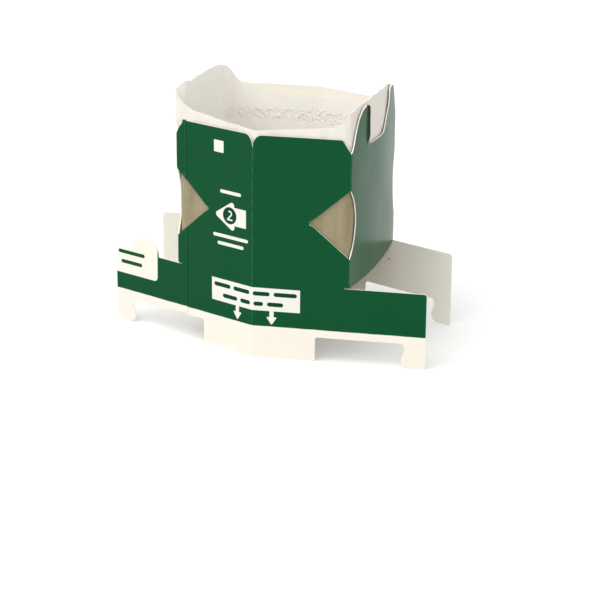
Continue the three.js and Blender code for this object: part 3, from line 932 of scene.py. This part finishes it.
def printed_card():
    """Glossy green ink on cream card: bare lower edge, white shapes, worn folds and cut edges, and painted
    shade on the curled horn's edge and in the crimp.
    """
    paint = Finish("printed_card")
    s, z = paint.flat()
    wobble = (paint.noise(4, 2) - 0.5) * 0.25
    past_wing_end = s > ROUND - FLAP_WING_END - 1
    bare = ink(z - (BARE_EDGE + FLAP_BARE_EXTRA * past_wing_end) + wobble, 0.15)
    on_flap_wing = past_wing_end * (s < ROUND - HALF_FRONT - 2) * (z < WING_TOP + TAB_HEIGHT + 0.1)
    from_end = s - ROUND
    patch = ink(box_distance(from_end, z, *FLAP_PATCH, 1.6))
    bars = ink(bars_distance(from_end, z, FLAP_BARS, FLAP_BAR_HALF))
    bare = bare.most(patch * (1 - bars) * on_flap_wing)

    worn = (1 - paint.number("cut") / WORN_REACH).held() * paint.noise(1.5, 4).most(0.35)
    above_wings = z > WING_TOP
    creases = crease(s).most(crease(s - HALF_ROUND))
    for fold in FOLDS:
        creases = creases.most(crease(s - fold) * above_wings)
    creases = creases * (paint.noise(2.2, 5) - 0.3).held() * 0.9
    cloud = paint.noise(26, 3)
    fine = paint.noise(0.5, 4, 0.7)
    green = paint.mix(cloud * 0.5 + fine * 0.25, GREEN, PALE_GREEN)
    green = paint.mix((worn * 0.35 + creases).held(), green, WORN_GREEN)
    # Painted shade: a dark strip along the curled horn's edge at the notch, for the shadowed gap between
    # card and cloth
    curl_shade = ink(abs(s - CURL_END + 0.7) - 0.8, 0.3) * (z > HORN_BASE + 1)
    green = paint.mix(curl_shade * 0.85, green, SHADED_GREEN)
    mottled = (paint.noise(2.8, 5, 0.7) * 3 - 1).held()
    crimp = ink(abs(z - CRIMP_LEVEL) - 2.0, 0.8) * (s < -1.5) * mottled
    # Painted shade: the green darkens towards DEEP_GREEN where the crimp's bump sinks
    green = paint.mix(crimp * 0.3, green, DEEP_GREEN)

    white = white_marks(s, z)
    printed = paint.mix(white, green, PAPER_WHITE)
    printed = paint.mix(green_marks(s, z) * white, printed, DEEP_GREEN)
    printed = paint.mix(step_number(s, z), printed, PAPER_WHITE)
    cream = paint.mix(paint.noise(7, 4) * 0.3, CREAM, DARK_CREAM)
    colour = paint.mix(bare, printed, cream)
    roughness = 0.20 + 0.10 * paint.noise(9, 4) + 0.3 * bare + 0.3 * creases
    height = paint.noise(0.6, 4, 0.65) * 0.35 + paint.noise(14, 2) * 2.2 - crimp * 2

    # The side panels have a gloss that fades towards the back
    from_back = abs(s - HALF_ROUND)
    on_side = (abs(from_back - HALF_ROUND / 2) < SIDE / 2) * above_wings * (1 - bare)
    near_front = ((from_back - HALF_FRONT) / SIDE).held()
    return paint.finished(
        base_color=colour, roughness=roughness, specular_ior_level=0.078,
        coat_weight=on_side * near_front * 0.25, coat_roughness=0.22, normal=paint.bump(height, 0.05))


def bare_card():
    """Unprinted inside and cut edges: cream fibres with fine mottling and one speck."""
    paint = Finish("bare_card")
    s, z = paint.flat()
    fibre = paint.noise(0.45, 5, 0.7)
    cloud = paint.noise(11, 3)
    cream = paint.mix(fibre * 0.3 + cloud * 0.25, BARE_CREAM, BARE_DARK_CREAM)
    speck = ink(disc_distance(s, z, SPECK, SPECK_RADIUS), 0.2)
    cream = paint.mix(speck * 0.8, cream, SPECK_BROWN)
    height = fibre + paint.noise(1.6, 3) * 0.6
    return paint.finished(base_color=cream, roughness=0.62 + 0.2 * fibre, normal=paint.bump(height, 0.03))


def nonwoven_cloth():
    """Bonded fibres: fine streaks and spots, a tan tint low down and a crimped band near the top.

    The tint reaches 20 mm up on the inside and 50 mm up on the outside. It is partly coffee stain and
    partly painted shade, the dark coffee and shaded inside seen through the cloth.
    The outside skin is a darker copy of the cloth, and the crimped band is darker in its dimples: both
    painted shade.
    """
    paint = Finish("nonwoven_cloth")
    s, z = paint.flat()
    place = paint.place()
    fibres = paint.noise(0.35, 6, 0.75, place)
    tufts = paint.noise(2.4, 4, 0.6, place)
    clouds = paint.noise(13, 3, 0.5, place)
    dimples = paint.noise(1.5, 2, 0.5, place) * 4 - 2
    band = ink(abs(z - CRIMP_LEVEL) - 2.2, 0.4) * ink(abs(s - HALF_ROUND) - 42.0, 0.5)
    seams = ink(abs(abs(s - HALF_ROUND) - 3.2) - 0.25, 0.5)
    outside = paint.number("outside")
    stretched = paint.node("ShaderNodeMapping", None, {"Vector": place, "Scale": (1, 1, 0.12)})
    streaks = paint.noise(5, 3, 0.5, stretched)
    # Partly painted shade: below this level the tan stands both for coffee stain and for the dark coffee
    # and shaded inside seen through the cloth
    low = (1 - (z - 20 - 30 * outside - clouds * 5) / 7).held()
    mottle = fibres * 0.25 + tufts * 0.2
    inner = paint.mix(mottle, CLOTH_INSIDE, CLOTH_INSIDE_DARK)
    # Painted shade: the outside skin takes the darker copy of the cloth
    outer = paint.mix(mottle, CLOTH_OUTSIDE_SHADED, CLOTH_OUTSIDE_SHADED_DARK)
    pale = paint.mix(outside, inner, outer)
    tan = paint.mix((tufts * 0.4 + (streaks - 0.4) * 1.6).held(), CLOTH_TAN, CLOTH_BROWN)
    cloth = paint.mix(low, pale, tan)
    # Painted shade: the band is darkened where its dimples sink in the bump
    cloth = paint.mix(band * (0.5 + 0.5 * dimples).held() * 0.25, cloth, CLOTH_CRIMP_SHADE)
    height = fibres * 0.7 + tufts * 0.8 - band * dimples * 1.5 + seams * 0.8
    return paint.finished(base_color=cloth, roughness=0.9, sheen_weight=0.12, specular_ior_level=0.2,
                          normal=paint.bump(height, 0.12))


def coffee_grounds():
    """Dark roast grains, each a little lighter or darker than its neighbour."""
    paint = Finish("coffee_grounds")
    speck = paint.noise(0.7, 5, 0.7)
    brown = paint.mix((paint.number("grain") * 0.8 + speck * 0.4 - 0.1).held(), COFFEE_DARK, COFFEE_LIGHT)
    return paint.finished(
        base_color=brown, roughness=0.72, specular_ior_level=0.35, normal=paint.bump(speck, 0.25))


# Camera, stage and light

# The photograph's camera: its angles, and in millimetres its target, distance and lens
CAMERA_TURN, CAMERA_HEIGHT, CAMERA_ROLL = (math.radians(angle) for angle in (24.5192, 19.2863, 0.6335))
CAMERA_TARGET = (8.190, 0, -1.902)
CAMERA_DISTANCE = 777.05
FOCAL_LENGTH, SENSOR_WIDTH = 125.60, 36

# Lamps: place and width in metres, power in watts
LAMPS = {
    "key": ((-0.25, -0.75, 0.85), 0.7, 2.0),
    "fill": ((0.45, -0.85, 0.45), 0.6, 1.4),
    "top": ((-0.35, -0.35, 1.05), 0.8, 5.2),
}
LAMP_TARGET = (0, 0, 0.03)

# Strength of the surround, and what the floor glows by for the camera and for mirrored rays
SURROUND = 0.92
FLOOR_SEEN, FLOOR_MIRRORED = 0.2, 0.16
FLOOR_GREY = (0.76, 0.76, 0.75)
FLOOR_HALF, FLOOR_GAP = 1500, 0.05


def place_camera():
    """A long lens that looks down at the holder from its front right."""
    azimuth, height, roll = CAMERA_TURN, CAMERA_HEIGHT, CAMERA_ROLL
    level = Vector((math.sin(azimuth), -math.cos(azimuth), 0))
    back = level * math.cos(height) + Vector((0, 0, math.sin(height)))
    right = Vector((math.cos(azimuth), math.sin(azimuth), 0))
    up = back.cross(right)
    rolled_right = right * math.cos(roll) + up * math.sin(roll)
    rolled_up = up * math.cos(roll) - right * math.sin(roll)
    turn = Matrix((rolled_right, rolled_up, back)).transposed().to_4x4()
    turn.translation = (Vector(CAMERA_TARGET) + back * CAMERA_DISTANCE) * MM
    lens = bpy.data.cameras.new("camera")
    lens.lens = FOCAL_LENGTH
    lens.sensor_width = SENSOR_WIDTH
    lens.clip_end = 10
    camera = bpy.data.objects.new("camera", lens)
    camera.matrix_world = turn
    bpy.context.scene.collection.objects.link(camera)
    bpy.context.scene.camera = camera


def white_floor():
    """A wide floor that the legs stand on; it looks white and keeps the shadow."""
    paint = Finish("studio_floor")
    seen = paint.node("ShaderNodeLightPath", output=0)
    mirrored = paint.node("ShaderNodeLightPath", output=3)
    lit = paint.node("ShaderNodeBsdfDiffuse", None, {"Color": FLOOR_GREY})
    glow = paint.node("ShaderNodeEmission", None, {
        "Color": (1, 1, 1), "Strength": seen * FLOOR_SEEN + mirrored * FLOOR_MIRRORED})
    both = paint.node("ShaderNodeAddShader", None, {0: lit, 1: glow})
    paint.node("ShaderNodeOutputMaterial", None, {"Surface": both})
    mesh = bpy.data.meshes.new("floor")
    square = np.array([[-1, -1], [1, -1], [1, 1], [-1, 1]]) * FLOOR_HALF
    corners = np.column_stack([square, np.full(4, -LEG_DROP - FLOOR_GAP)]) * MM
    mesh.from_pydata(corners.tolist(), [], [[0, 1, 2, 3]])
    mesh.materials.append(paint.material)
    floor = bpy.data.objects.new("floor", mesh)
    bpy.context.scene.collection.objects.link(floor)


def studio_light():
    """A bright even surround, a strong soft lamp from above and weaker ones from both sides in front."""
    world = bpy.data.worlds.new("surround")
    bpy.context.scene.world = world
    world.use_nodes = True
    tree = world.node_tree
    tree.nodes.clear()
    seen = Shade(tree, tree.nodes.new("ShaderNodeLightPath").outputs[0])
    sky = tree.nodes.new("ShaderNodeBackground")
    sky.inputs["Color"].default_value = (1, 1, 1, 1)
    plug(tree, SURROUND + seen * (1 - SURROUND), sky.inputs["Strength"])
    output = tree.nodes.new("ShaderNodeOutputWorld")
    tree.links.new(sky.outputs[0], output.inputs["Surface"])
    for name, (place, size, power) in LAMPS.items():
        lamp = bpy.data.lights.new(name, "AREA")
        lamp.size = size
        lamp.energy = power
        light = bpy.data.objects.new(name, lamp)
        aim = Vector(LAMP_TARGET) - Vector(place)
        light.matrix_world = Matrix.Translation(place) @ aim.to_track_quat("-Z", "Y").to_matrix().to_4x4()
        bpy.context.scene.collection.objects.link(light)


bpy.context.scene.view_settings.view_transform = "Standard"
place_camera()
card_holder()
filter_bag()
ground_coffee()
white_floor()
studio_light()
